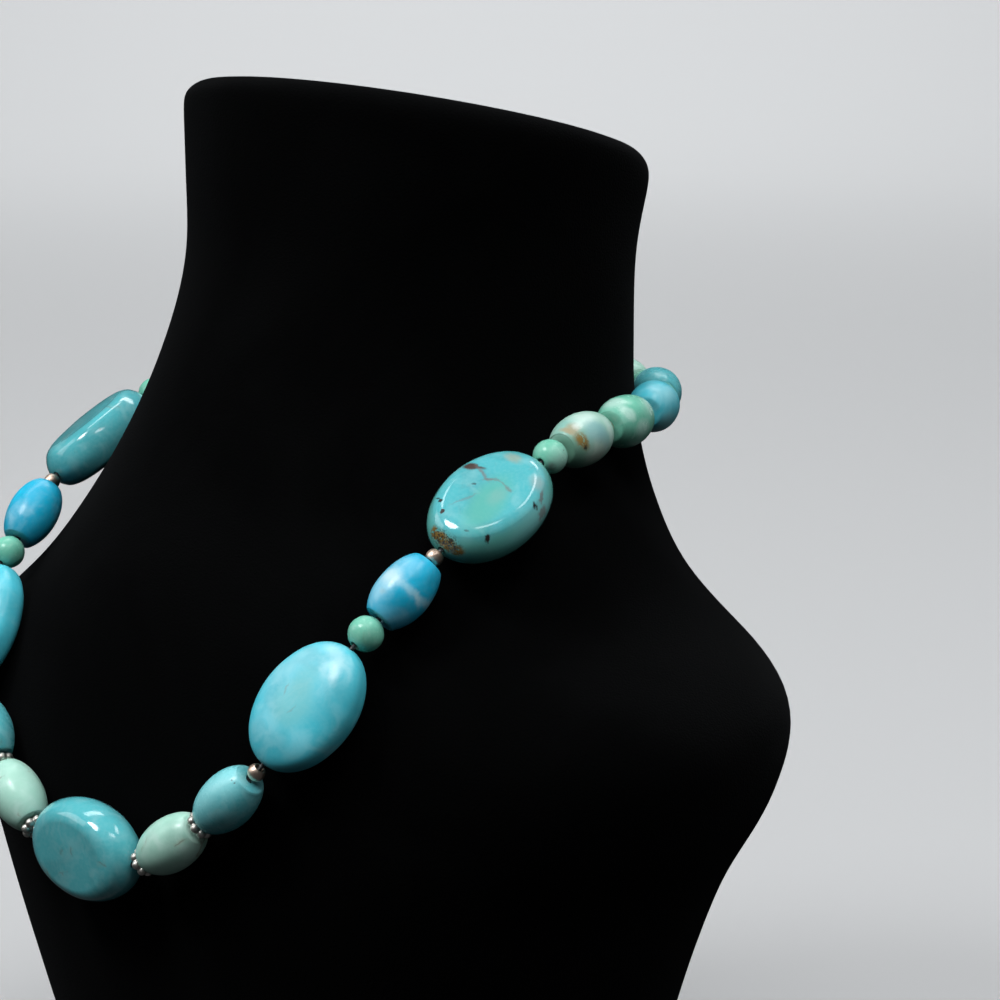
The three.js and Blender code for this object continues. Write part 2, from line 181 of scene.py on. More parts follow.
def node_points(node):
    shape = merged_copy(node)
    points = np.array([vertex.co for vertex in shape.verts])
    shape.free()
    return points


def local_points(node, place):
    """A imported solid's points in its bead's own axes."""
    inverse = place.inverted()
    return np.array([inverse @ Vector(point) for point in node_points(node)])


def bead_place(node):
    """A bead's axes across, along the thread and away from the bust, and its centre, as a matrix."""
    points = node_points(node)
    centre = Vector(points.mean(axis=0))
    spreads, axes = np.linalg.eigh(np.cov(points.T))
    if "oval" in node:
        along = Vector(axes[:, 2])
        outward = Vector(axes[:, 0])
    else:
        # A turned bead spreads alike in two directions, and its thread runs along the third.
        lone = 0 if spreads[1] - spreads[0] > spreads[2] - spreads[1] else 2
        along = Vector(axes[:, lone])
        outward = centre - Vector((0, NECK_MIDDLE.y, centre.z))
    if node in ("middle_oval", "clasp"):
        onward = Vector((1, 0, 0))
    else:
        onward = CLASP_CENTRE - centre
    if along.dot(onward) < 0:
        along.negate()
    deep_inside = Vector((0, NECK_MIDDLE.y, centre.z - BUST_HEIGHT))
    if outward.dot(centre - deep_inside) < 0:
        outward.negate()
    outward = (outward - along * outward.dot(along)).normalized()
    across = along.cross(outward)
    place = Matrix((across, along, outward)).transposed().to_4x4()
    place.translation = centre
    return place


def bead_half_sizes(node, place):
    """Half of a bead's width, length and thickness, and its radius about the thread."""
    local = local_points(node, place)
    radius = np.hypot(local[:, ACROSS], local[:, OUTWARD]).max()
    width, length, thickness = np.abs(local).max(axis=0)
    return width, length, thickness, radius


def end_radius_of(node, place):
    """Radius of the flat ring at a turned bead's end, read from its solid."""
    local = local_points(node, place)
    tip = local[:, ALONG] > local[:, ALONG].max() - 0.01 * MILLIMETRE
    return np.hypot(local[tip, ACROSS], local[tip, OUTWARD]).max()


def bulge(share, middle_radius, end_radius):
    """Radius of a truncated ellipse at a share from -1 to 1 of its length."""
    cut = 1 - (end_radius / middle_radius) ** 2
    return middle_radius * math.sqrt(1 - share * share * cut)


def spun(profile, axis, steps):
    """A profile of (radius, level) turned round an axis through the origin."""
    shape = bmesh.new()
    side = Vector((1, 0, 0))  # square to both axes that are used
    verts = [shape.verts.new(side * radius + axis * level) for radius, level in profile]
    edges = [shape.edges.new(pair) for pair in zip(verts, verts[1:])]
    bmesh.ops.spin(
        shape, geom=verts + edges, cent=(0, 0, 0), axis=axis, angle=2 * math.pi, steps=steps, use_merge=True
    )
    bmesh.ops.remove_doubles(shape, verts=shape.verts, dist=0.002 * MILLIMETRE)
    bmesh.ops.recalc_face_normals(shape, faces=shape.faces)
    return shape


def bevelled_rings(shape, axis, rings, width, segments):
    """Rounds the rings of edges at the given (radius, level) pairs round an axis."""
    close = 0.02 * MILLIMETRE

    def on_ring(vertex):
        level = vertex.co.dot(axis)
        radius = (vertex.co - axis * level).length
        return any(abs(radius - r) < close and abs(level - z) < close for r, z in rings)

    edges = [edge for edge in shape.edges if all(on_ring(vertex) for vertex in edge.verts)]
    bmesh.ops.bevel(
        shape, geom=edges, offset=width, offset_type="OFFSET", affect="EDGES", segments=segments,
        profile=0.5, material=-1,
    )


def uneven(shape, amount, seed, grain):
    """Moves the outer skin in and out a little, as hand grinding leaves it."""
    rng = random.Random(seed)
    start = Vector([rng.uniform(-50, 50) for _ in range(3)])
    shape.normal_update()
    for vertex in shape.verts:
        vertex.co += vertex.normal * amount * noise.noise(vertex.co / grain + start)


def finished_mesh(shape, name, place, sharp_angle=SHARP_ANGLE):
    """Puts a bmesh in place and links it as a smooth-shaded piece."""
    bmesh.ops.transform(shape, matrix=place, verts=shape.verts)
    mesh = bpy.data.meshes.new(name)
    shape.to_mesh(mesh)
    shape.free()
    piece = bpy.data.objects.new(name, mesh)
    bpy.context.scene.collection.objects.link(piece)
    mesh.shade_smooth()
    mesh.set_sharp_from_angle(angle=sharp_angle)
    return piece


def applied(piece):
    """Leaves the piece with its modifiers applied to its mesh."""
    depsgraph = bpy.context.evaluated_depsgraph_get()
    mesh = bpy.data.meshes.new_from_object(piece.evaluated_get(depsgraph))
    piece.modifiers.clear()
    piece.data = mesh
    return piece


def adopted(piece, node, material):
    """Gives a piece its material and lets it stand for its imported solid."""
    piece.data.materials.clear()
    piece.data.materials.append(material)
    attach(piece, "root")
    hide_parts(node)
    return piece


def drilled_bead(node, rings, rounding):
    """A round bead turned about the thread, with its bore and rounded end edges, and its place."""
    beads = bpy.context.scene.necklace_beads
    place = bead_place(node)
    _, half, _, radius = bead_half_sizes(node, place)
    end_radius = end_radius_of(node, place)
    bore = beads.bore / 2
    lip_rounding = 0.12 * MILLIMETRE
    shares = [-math.cos(math.pi * ring / (rings - 1)) for ring in range(rings)]
    profile = [(bulge(share, radius, end_radius), share * half) for share in shares]
    profile += [(bore, half), (bore, -half), profile[0]]
    shape = spun(profile, THREAD_AXIS, beads.steps)
    bevelled_rings(shape, THREAD_AXIS, [(end_radius, half), (end_radius, -half)], rounding, 3)
    bevelled_rings(shape, THREAD_AXIS, [(bore, half), (bore, -half)], lip_rounding, 2)
    return shape, place


def turned_stones(word, rings, rounding, grain):
    """Turns every stone whose name holds the word, with unevenness of the given grain."""
    for node in nodes_with(word):
        shape, place = drilled_bead(node, rings, rounding)
        uneven(shape, bpy.context.scene.necklace_beads.hand_cut, node, grain)
        piece = finished_mesh(shape, node + "_bead", place)
        adopted(piece, node, stone_material(node, place, STONE_MARKS.get(node, ())))


# Materials

def add_node(tree, kind, sockets=None, **settings):
    """Adds a node with its settings, and its sockets set or linked by name or number."""
    made = tree.nodes.new(kind)
    for setting, value in settings.items():
        setattr(made, setting, value)
    for socket, value in (sockets or {}).items():
        if isinstance(value, bpy.types.NodeSocket):
            tree.links.new(value, made.inputs[socket])
        else:
            made.inputs[socket].default_value = value
    return made


def blend(tree, share, first, second):
    """Mixes two colours, each a socket or three numbers."""
    first, second = [
        colour if isinstance(colour, bpy.types.NodeSocket) else (*colour, 1) for colour in (first, second)
    ]
    mixer = add_node(tree, "ShaderNodeMix", {0: share, 6: first, 7: second}, data_type="RGBA")
    return mixer.outputs[2]


def between(tree, value, low, high, start=0.0, end=1.0):
    """Maps a value from low..high to start..end along a smooth step."""
    ramp = add_node(
        tree, "ShaderNodeMapRange",
        {"Value": value, "From Min": low, "From Max": high, "To Min": start, "To Max": end},
        interpolation_type="SMOOTHSTEP",
    )
    return ramp.outputs["Result"]


def object_coordinates(tree):
    return add_node(tree, "ShaderNodeTexCoord").outputs["Object"]


def product(tree, first, second):
    return add_node(tree, "ShaderNodeMath", {0: first, 1: second}, operation="MULTIPLY").outputs[0]


def scaled_sum(tree, value, factor, other):
    """A value times a factor, plus another value."""
    sockets = {0: value, 1: factor, 2: other}
    return add_node(tree, "ShaderNodeMath", sockets, operation="MULTIPLY_ADD").outputs[0]


def roughened(tree, shader, height, strength, distance):
    """Bumps a shader's surface by a height."""
    sockets = {"Strength": strength, "Distance": distance, "Height": height}
    tree.links.new(add_node(tree, "ShaderNodeBump", sockets).outputs["Normal"], shader.inputs["Normal"])


def speckle(tree, vector, scale, detail=4.0, distortion=0.0):
    """Soft noise, whose scale counts features in a unit of the vector."""
    texture = add_node(
        tree, "ShaderNodeTexNoise",
        {"Vector": vector, "Scale": scale, "Detail": detail, "Distortion": distortion},
    )
    return texture.outputs["Fac"]


def cracks(tree, vector, scale):
    """Distance from the thin lines between the cells of a stone."""
    sockets = {"Vector": vector, "Scale": scale}
    texture = add_node(tree, "ShaderNodeTexVoronoi", sockets, feature="DISTANCE_TO_EDGE")
    return texture.outputs["Distance"]


def shifted(tree, vector, amount, scale):
    """A vector pushed about by noise, so that edges wander."""
    texture = add_node(tree, "ShaderNodeTexNoise", {"Vector": vector, "Scale": scale, "Detail": 3.0})
    kind = "ShaderNodeVectorMath"
    centred = add_node(tree, kind, {0: texture.outputs["Color"], 1: (0.5, 0.5, 0.5)}, operation="SUBTRACT")
    push = add_node(tree, kind, {0: centred.outputs[0], "Scale": amount}, operation="SCALE")
    return add_node(tree, kind, {0: vector, 1: push.outputs[0]}, operation="ADD").outputs[0]


def new_material(name, **sockets):
    """A Principled material with some of its own sockets set."""
    material = bpy.data.materials.new(name)
    material.use_nodes = True
    tree = material.node_tree
    shader = next(node for node in tree.nodes if node.type == "BSDF_PRINCIPLED")
    for socket, value in sockets.items():
        shader.inputs[socket.replace("_", " ")].default_value = value
    return material, tree, shader


def local_millimetres(tree, place):
    """Object coordinates turned into a bead's own: millimetres across, along and outward."""
    mapping = add_node(
        tree, "ShaderNodeMapping",
        {
            "Vector": object_coordinates(tree),
            "Location": place.translation,
            "Rotation": place.to_euler("XYZ"),
            "Scale": (MILLIMETRE, MILLIMETRE, MILLIMETRE),
        },
        vector_type="TEXTURE",
    )
    return mapping.outputs[0]


def mark_share(tree, local, mark):
    """How far a point lies within one mark on a stone: an ellipsoid with a soft, wandering edge."""
    mapping = add_node(
        tree, "ShaderNodeMapping",
        {
            "Vector": local,
            "Location": mark["spot"],
            "Rotation": (0, 0, math.radians(mark["turn"])),
            "Scale": mark["size"],
        },
        vector_type="TEXTURE",
    )
    reach = add_node(tree, "ShaderNodeVectorMath", {0: mapping.outputs[0]}, operation="LENGTH")
    softness = mark["softness"]
    return between(tree, reach.outputs["Value"], 1 - softness, 1 + softness, mark["strength"], 0.0)


def lightened(colour, share, other=(1, 1, 1)):
    return tuple(a + (b - a) * share for a, b in zip(colour, other))


def stone_material(node, place, marks=(), polish=0.08):
    """Polished turquoise with patches, clouds, chalky veins, brown matrix and listed marks; some marks are
    painted highlight, painted light or painted shade.
    """
    colours = bpy.context.scene.necklace_colours
    slot = SLOT_OF[node]
    layers = STONE_LAYERS[slot]
    body = tuple(getattr(colours, slot))
    material, tree, shader = new_material(f"{node}_stone")
    local = local_millimetres(tree, place)
    rng = random.Random(node)
    start = Vector([rng.uniform(-90, 90) for _ in range(3)])
    seeded = add_node(tree, "ShaderNodeVectorMath", {0: local, 1: start}, operation="ADD").outputs[0]
    wandering = shifted(tree, seeded, 3.0, 0.25)

    # Broad patches and clouds, and a fine grain, over the body colour.
    deep = tuple(channel * 0.6 for channel in body)
    light = lightened(body, 0.35, colours.chalk)
    patches = between(tree, speckle(tree, seeded, 0.1, 2.0, 0.8), 0.42, 0.64, 0.0, layers["patch"])
    tone = blend(tree, patches, body, deep)
    clouds = between(tree, speckle(tree, seeded, 0.2, 4.0, 1.0), 0.46, 0.7, 0.0, layers["cloud"])
    tone = blend(tree, clouds, tone, light)
    grain = between(tree, speckle(tree, seeded, 1.6, 5.0), 0.35, 0.7, 0.0, 0.1)
    tone = blend(tree, grain, tone, light)

    # Chalky veins, then brown seams with a tan halo, each in some places only.
    edges = cracks(tree, wandering, 0.13)
    vein_mask = between(tree, speckle(tree, seeded, 0.15, 2.0), 0.48, 0.6)
    veins = product(tree, between(tree, edges, 0.0, 0.12, layers["vein"], 0.0), vein_mask)
    tone = blend(tree, veins, tone, colours.chalk)
    seams = cracks(tree, wandering, 0.19)
    seam_mask = between(tree, speckle(tree, wandering, 0.2, 3.0), 0.56, 0.66)
    matrix = layers["matrix"] * (0.2 if marks else 1)  # marked stones have theirs placed one by one
    seam = product(tree, between(tree, seams, 0.008, 0.035, matrix, 0.0), seam_mask)
    tone = blend(tree, seam, tone, colours.matrix)
    halo = product(tree, between(tree, seams, 0.0, 0.12, 0.6 * matrix, 0.0), seam_mask)
    tone = blend(tree, halo, tone, colours.tan)

    # The listed marks, whose edges wander: some are the stone's own colour, some are painted highlight,
    # painted light on a lit side or painted shade on an underside.
    broken = shifted(tree, shifted(tree, local, 1.2, 0.5), 0.6, 2.4)
    ragged = between(tree, speckle(tree, local, 1.7, 4.0, 0.5), 0.34, 0.48)
    flecked = between(tree, speckle(tree, seeded, 3.0, 4.0, 0.5), 0.48, 0.55)
    hollow = seam
    for mark in marks:
        share = mark_share(tree, broken, mark)
        if mark["tone"] in ("gold", "speck"):
            share = product(tree, share, ragged if mark["tone"] == "gold" else flecked)
        tone = blend(tree, share, tone, MARK_TONES[mark["tone"]](colours, body))
        if mark["tone"] in ("matrix", "speck", "umber"):
            hollow = add_node(tree, "ShaderNodeMath", {0: hollow, 1: share}, operation="MAXIMUM").outputs[0]
    tree.links.new(tone, shader.inputs["Base Color"])

    # Polish, duller in the hollows, and fine pits.
    gloss = layers["gloss"] * (1 - polish)
    dull = between(tree, speckle(tree, seeded, 0.6, 5.0), 0.35, 0.75, gloss, gloss + 0.1)
    rough = scaled_sum(tree, hollow, 0.3, dull)
    tree.links.new(rough, shader.inputs["Roughness"])
    shader.inputs["IOR"].default_value = 1.45
    shader.inputs["Coat Weight"].default_value = polish
    shader.inputs["Coat Roughness"].default_value = 0.06

    pits = between(tree, speckle(tree, seeded, 3.5, 5.0), 0.28, 0.5, 0.0, 0.3)
    roughened(tree, shader, scaled_sum(tree, hollow, -1.5, pits), 0.15, FINE_RELIEF)
    return material


# The colour of each kind of mark, from the settings and the stone's body colour. Light, aqua, moss and slate
# also serve as painted light and painted shade on some stones.
MARK_TONES = {
    "matrix": lambda colours, body: tuple(colours.matrix),
    "tan": lambda colours, body: tuple(colours.tan),
    "chalk": lambda colours, body: tuple(colours.chalk),
    "deep": lambda colours, body: tuple(channel * 0.45 for channel in body),
    "light": lambda colours, body: lightened(body, 0.5, colours.chalk),
    "mint": lambda colours, body: (body[0] * 1.35, body[1] * 0.98, body[2] * 0.74),
    "speck": lambda colours, body: tuple(colours.matrix),
    "gold": lambda colours, body: (0.22, 0.135, 0.032),
    "umber": lambda colours, body: (0.06, 0.04, 0.035),
    "rose": lambda colours, body: (0.17, 0.16, 0.16),
    "blush": lambda colours, body: (0.42, 0.36, 0.33),
    "slate": lambda colours, body: (0.19, 0.4, 0.42),
    "sage": lambda colours, body: (0.2, 0.46, 0.44),
    "moss": lambda colours, body: (0.1, 0.24, 0.17),
    "aqua": lambda colours, body: (0.26, 0.66, 0.7),
}


def mark(tone, spot, size, turn=0, strength=1.0, softness=0.5):
    """A mark's tone, middle, half sizes, turn in degrees, strength and softness of edge."""
    return dict(tone=tone, spot=spot, size=size, turn=turn, strength=strength, softness=softness)


# Marks on single stones, in the bead's own millimetres across, along and outward. Most are the stone's own
# colour; some are painted highlight, painted light or painted shade, as noted.
STONE_MARKS = {
    "right_oval_1": [
        mark("mint", (0, 0, -1.5), (40, 40, 4.7), 0, 0.8, 0.25),
        mark("aqua", (8.8, 3.6, 1.6), (1.8, 7.0, 2.6), 0, 0.5, 0.8),
        mark("mint", (1.8, -2.6, 4.2), (2.8, 6.2, 4), 12, 0.75),
        mark("blush", (2.2, -0.4, 4.2), (1.2, 2.0, 4), 0, 0.14, 0.7),
        mark("tan", (-1.5, 8.2, 4), (1.5, 0.9, 4), 0, 0.5, 0.7),
        mark("blush", (5.2, 6.4, 4), (1.2, 1.5, 2), 35, 0.4, 0.7),
        mark("rose", (7.2, 5.0, 3), (0.25, 1.3, 1.6), 30, 0.75),
        mark("rose", (8.4, 3.6, 1), (0.3, 1.2, 1.6), 10, 0.75),
        mark("umber", (-6.0, 2.3, 3.8), (1.3, 0.9, 2), 30, 1, 0.4),
        mark("umber", (-5.0, 2.9, 4.0), (1.5, 0.4, 2), 20, 0.9),
        mark("rose", (-3.3, 2.2, 4.2), (2.0, 0.3, 2), -22, 0.7, 0.7),
        mark("rose", (-1.2, 1.9, 4.4), (1.2, 0.3, 2), 35, 0.75, 0.7),
        mark("rose", (1.2, 2.3, 4.4), (1.6, 0.16, 2), -14, 0.45, 0.7),
        mark("rose", (2.7, 2.0, 4.4), (0.8, 0.4, 2), -10, 0.6, 0.6),
        mark("rose", (-1.8, -4.2, 4.4), (0.18, 2.4, 2), -24, 0.4),
        mark("matrix", (-4.7, -6.7, 3.8), (0.4, 0.45, 2), 0, 1, 0.3),
        mark("matrix", (-3.0, -8.4, 3.9), (0.4, 0.4, 2), 0, 1, 0.3),
        mark("matrix", (-5.6, -6.4, 3.6), (0.45, 0.16, 2), 0, 0.9, 0.3),
        mark("matrix", (-2.8, -0.6, 4.4), (0.22, 0.26, 2), 0, 0.7),
        mark("matrix", (7.6, 2.6, 3.1), (0.5, 0.28, 2), -30, 1, 0.4),
        mark("matrix", (6.0, -7.6, 2.7), (0.4, 0.55, 2), 20, 1, 0.4),
        mark("matrix", (3.0, -9.2, 3.0), (0.4, 0.2, 2), 0, 0.6, 0.5),
        mark("gold", (-2.3, -11.5, 2.2), (0.9, 0.7, 1.2), -25, 1),
        mark("gold", (-0.7, -11.8, 2.1), (1.5, 0.8, 1.3), -5, 1),
        mark("gold", (1.3, -12.0, 1.7), (1.5, 0.9, 1.2), 5, 1),
        mark("gold", (3.0, -11.7, 1.1), (1.2, 0.8, 1.0), 25, 1),
        mark("speck", (0.2, -11.7, 2.0), (3.4, 1.1, 1.6), 0, 0.9),
    ],
    "right_short_oval_1": [
        mark("deep", (6.0, 3.4, 2.5), (3.4, 4.6, 4), 0, 0.45, 0.7),
        mark("deep", (3.0, -8.6, 2.5), (4.2, 2.6, 4), 0, 0.35, 0.7),
        mark("sage", (0.2, -1.0, 4), (3.4, 3.8, 3), 20, 0.45, 0.6),
        mark("sage", (-0.8, 3.6, 4), (2.2, 2.4, 3), 0, 0.35, 0.7),
        # The light marks are painted highlight and sheen on this oval's shoulder and side.
        mark("light", (0.2, 9.6, 3), (3.0, 0.9, 2), -10, 0.6, 0.7),
        mark("light", (2.4, 7.6, 3.4), (0.8, 2.2, 2), 30, 0.6, 0.7),
        mark("light", (-4.6, 5.0, 2.6), (2.2, 5.5, 2), -25, 0.35, 0.8),
        mark("rose", (-2.8, 0.3, 4), (0.2, 0.9, 2), 20, 0.35),
        mark("rose", (0.6, -1.6, 4), (0.2, 0.8, 2), -15, 0.3),
    ],
    "right_barrel_3": [
        mark("deep", (0.1, 2.8, 4.4), (2.2, 2.0, 3), 0, 0.15, 0.7),
        mark("deep", (-1.0, -2.9, 4.1), (2.4, 2.0, 3), 0, 0.35, 0.7),
        # The two light marks are painted light on the bead's lit side.
        mark("light", (-4.2, -2.6, 1.5), (2.0, 2.6, 2.5), 8, 0.55, 0.8),
        mark("light", (-3.5, 3.3, 2.5), (1.8, 1.8, 2.5), 0, 0.3, 0.8),
        mark("tan", (-3.4, -2.9, 2.7), (0.5, 0.4, 1), 0, 0.2, 0.8),
        mark("chalk", (-4.0, -0.1, 2.3), (1.4, 1.5, 2.2), 12, 0.5, 0.8),
        mark("chalk", (-0.8, -0.1, 4.5), (2.6, 0.6, 2.5), -4, 0.28, 0.9),
        mark("chalk", (1.6, -0.5, 4.2), (1.3, 0.35, 2.5), -30, 0.25, 0.9),
        mark("chalk", (3.0, 0.3, 3.2), (1.6, 0.6, 2.5), 20, 0.3, 0.9),
    ],
    "right_barrel_4": [
        mark("moss", (0, 0, 0), (9, 9, 9), 0, 0.22),
        # The next two moss marks are painted shade on the bead's lower side.
        mark("moss", (0.2, -5.6, 2.4), (3.4, 2.6, 3.0), -15, 0.8, 0.7),
        mark("moss", (3.6, -0.6, 2.6), (1.8, 5.0, 2.4), 0, 0.7, 0.7),
        mark("sage", (-3.9, -4.6, 0.0), (1.6, 2.0, 2), 0, 0.5, 0.7),
        mark("chalk", (-4.3, -0.8, 1.5), (1.6, 2.6, 2.2), 0, 0.4, 0.6),
        mark("chalk", (-1.5, 3.2, 4.0), (3.0, 0.9, 2.5), 0, 0.3, 0.7),
        mark("slate", (-2.2, -1.1, 3.8), (1.9, 2.5, 2.0), 0, 0.7, 0.5),
        mark("slate", (-0.6, 0.6, 4.3), (2.0, 1.5, 2.0), 20, 0.55, 0.6),
        mark("blush", (1.8, -1.4, 4.2), (2.0, 2.4, 2.4), 0, 0.35, 0.7),
        mark("tan", (-3.4, -4.5, 1.5), (0.9, 1.2, 1.5), 20, 0.8),
        mark("tan", (-3.0, -5.4, 0.8), (1.6, 0.5, 1.5), 15, 0.8),
        mark("chalk", (-3.8, -3.6, 2.2), (0.6, 0.9, 1.2), 20, 0.6, 0.7),
        mark("gold", (-1.2, -4.6, 3.3), (1.6, 1.0, 1.6), 20, 0.95),
        mark("matrix", (-0.1, -4.5, 3.8), (0.4, 0.4, 1.5), 0, 0.85),
    ],
    "right_barrel_5": [
        mark("light", (-3.9, -3.8, -0.5), (1.8, 1.8, 2), 0, 0.8),
        mark("light", (-2.5, -4.4, 2.7), (1.6, 1.1, 1.8), 20, 0.7),
        mark("light", (-2.7, 2.5, 3.5), (1.8, 1.7, 2), 0, 0.7),
        mark("light", (0.7, -1.7, 4.4), (1.5, 1.9, 2), 0, 0.6),
        mark("deep", (2.0, -4.6, 2.6), (1.6, 2.2, 2), 0, 0.5, 0.7),
    ],
    "right_barrel_6": [
        mark("light", (-3.2, -3.1, 2.6), (2.0, 2.6, 2.4), 0, 0.4, 0.8),
        # The slate mark is painted shade on the bead's underside.
        mark("slate", (1.8, -3.8, 3.4), (1.8, 2.0, 2), 0, 0.5, 0.7),
    ],
    "right_barrel_2": [
        # The two aqua marks are painted light on the bead's lit upper side.
        mark("aqua", (-3.0, 0.4, 3.0), (2.4, 6.2, 2.8), 0, 0.75, 0.8),
        mark("aqua", (-2.0, 4.8, 2.4), (2.6, 1.8, 2.4), 0, 0.6, 0.8),
        mark("matrix", (-1.8, 5.4, 2.6), (0.16, 0.14, 1), 0, 0.7),
        mark("matrix", (-1.2, 5.6, 2.7), (0.14, 0.16, 1), 0, 0.7),
    ],
    "right_round_2": [
        # The light mark is painted light on the bead's lit side.
        mark("light", (0.7, -0.2, 2.5), (2.3, 2.2, 2.2), 0, 0.5, 0.8),
        mark("rose", (1.0, -2.2, 1.8), (0.9, 0.6, 1), 0, 0.6, 0.7),
        mark("matrix", (-1.2, 0.6, 2.6), (0.12, 0.14, 1), 0, 0.7),
    ],
}


def velvet_material():
    bust = bpy.context.scene.necklace_bust
    material, tree, shader = new_material("velvet", Roughness=1.0)
    shader.inputs["Specular IOR Level"].default_value = 0.0
    shader.inputs["Sheen Weight"].default_value = bust.sheen
    shader.inputs["Sheen Roughness"].default_value = 0.5
    shader.inputs["Sheen Tint"].default_value = (0.75, 0.8, 0.85, 1)
    coordinates = object_coordinates(tree)
    brushed = between(tree, speckle(tree, coordinates, 28.0, 4.0, 0.6), 0.3, 0.7)
    pile = speckle(tree, coordinates, 2600.0, 2.0)
    dark = tuple(channel * 0.55 for channel in bust.velvet)
    tone = blend(tree, brushed, dark, tuple(bust.velvet))
    tree.links.new(tone, shader.inputs["Base Color"])
    roughened(tree, shader, pile, 0.6, 0.25 * MILLIMETRE)
    return material


def metal_material(name, colour, gloss, tarnish, scale):
    """Polished metal with fine wear, and a darker film in its hollows."""
    material, tree, shader = new_material(name, Metallic=1.0)
    coordinates = object_coordinates(tree)
    film = between(tree, speckle(tree, coordinates, scale, 5.0, 0.4), 0.38, 0.72, 0.0, tarnish)
    dark = tuple(channel * 0.3 for channel in colour)
    tone = blend(tree, film, tuple(colour), dark)
    hollow = add_node(tree, "ShaderNodeAmbientOcclusion", {"Distance": 0.8 * MILLIMETRE}, samples=8)
    closed = between(tree, hollow.outputs["AO"], 0.25, 0.85, tarnish * 1.6, 0.0)
    tone = blend(tree, closed, tone, tuple(channel * 0.12 for channel in colour))
    tree.links.new(tone, shader.inputs["Base Color"])
    wear = between(tree, speckle(tree, coordinates, scale * 2, 4.0), 0.3, 0.7, gloss, gloss + 0.15)
    tree.links.new(wear, shader.inputs["Roughness"])
    dents = speckle(tree, coordinates, scale * 1.5, 3.0)
    roughened(tree, shader, dents, 0.12, FINE_RELIEF)
    return material


def thread_material():
    material, tree, shader = new_material("beading_wire", Roughness=0.35)
    coordinates = object_coordinates(tree)
    strands = speckle(tree, coordinates, 2200.0, 2.0)
    colours = bpy.context.scene.necklace_colours
    pale = lightened(colours.thread, 0.12)
    tone = blend(tree, between(tree, strands, 0.45, 0.65), tuple(colours.thread), pale)
    tree.links.new(tone, shader.inputs["Base Color"])
    roughened(tree, shader, strands, 0.4, FINE_RELIEF)
    return material


def floor_material():
    stage = bpy.context.scene.necklace_stage
    material, tree, shader = new_material("floor", Roughness=0.9)
    shader.inputs["Specular IOR Level"].default_value = 0.1
    coordinates = object_coordinates(tree)
    tooth = speckle(tree, coordinates, 3.0, 3.0)
    mottle = between(tree, tooth, 0.3, 0.7, 0.0, 0.04)
    tone = blend(tree, mottle, tuple(stage.floor_colour), (0.3, 0.315, 0.33))
    tree.links.new(tone, shader.inputs["Base Color"])
    return material


# Places that the pieces share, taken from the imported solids.
SLOT_OF = {part["node"]: part["material_slot"] for part in frame["record"]["subparts"]}
bust_low, bust_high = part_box("neck_bust")
BUST_HEIGHT = bust_high.z - bust_low.z
NECK_MIDDLE = (bust_low + bust_high) / 2
clasp_low, clasp_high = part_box("clasp")
CLASP_CENTRE = (clasp_low + clasp_high) / 2


def nodes_with(word):
    return sorted(node for node in frame["nodes"] if word in node)


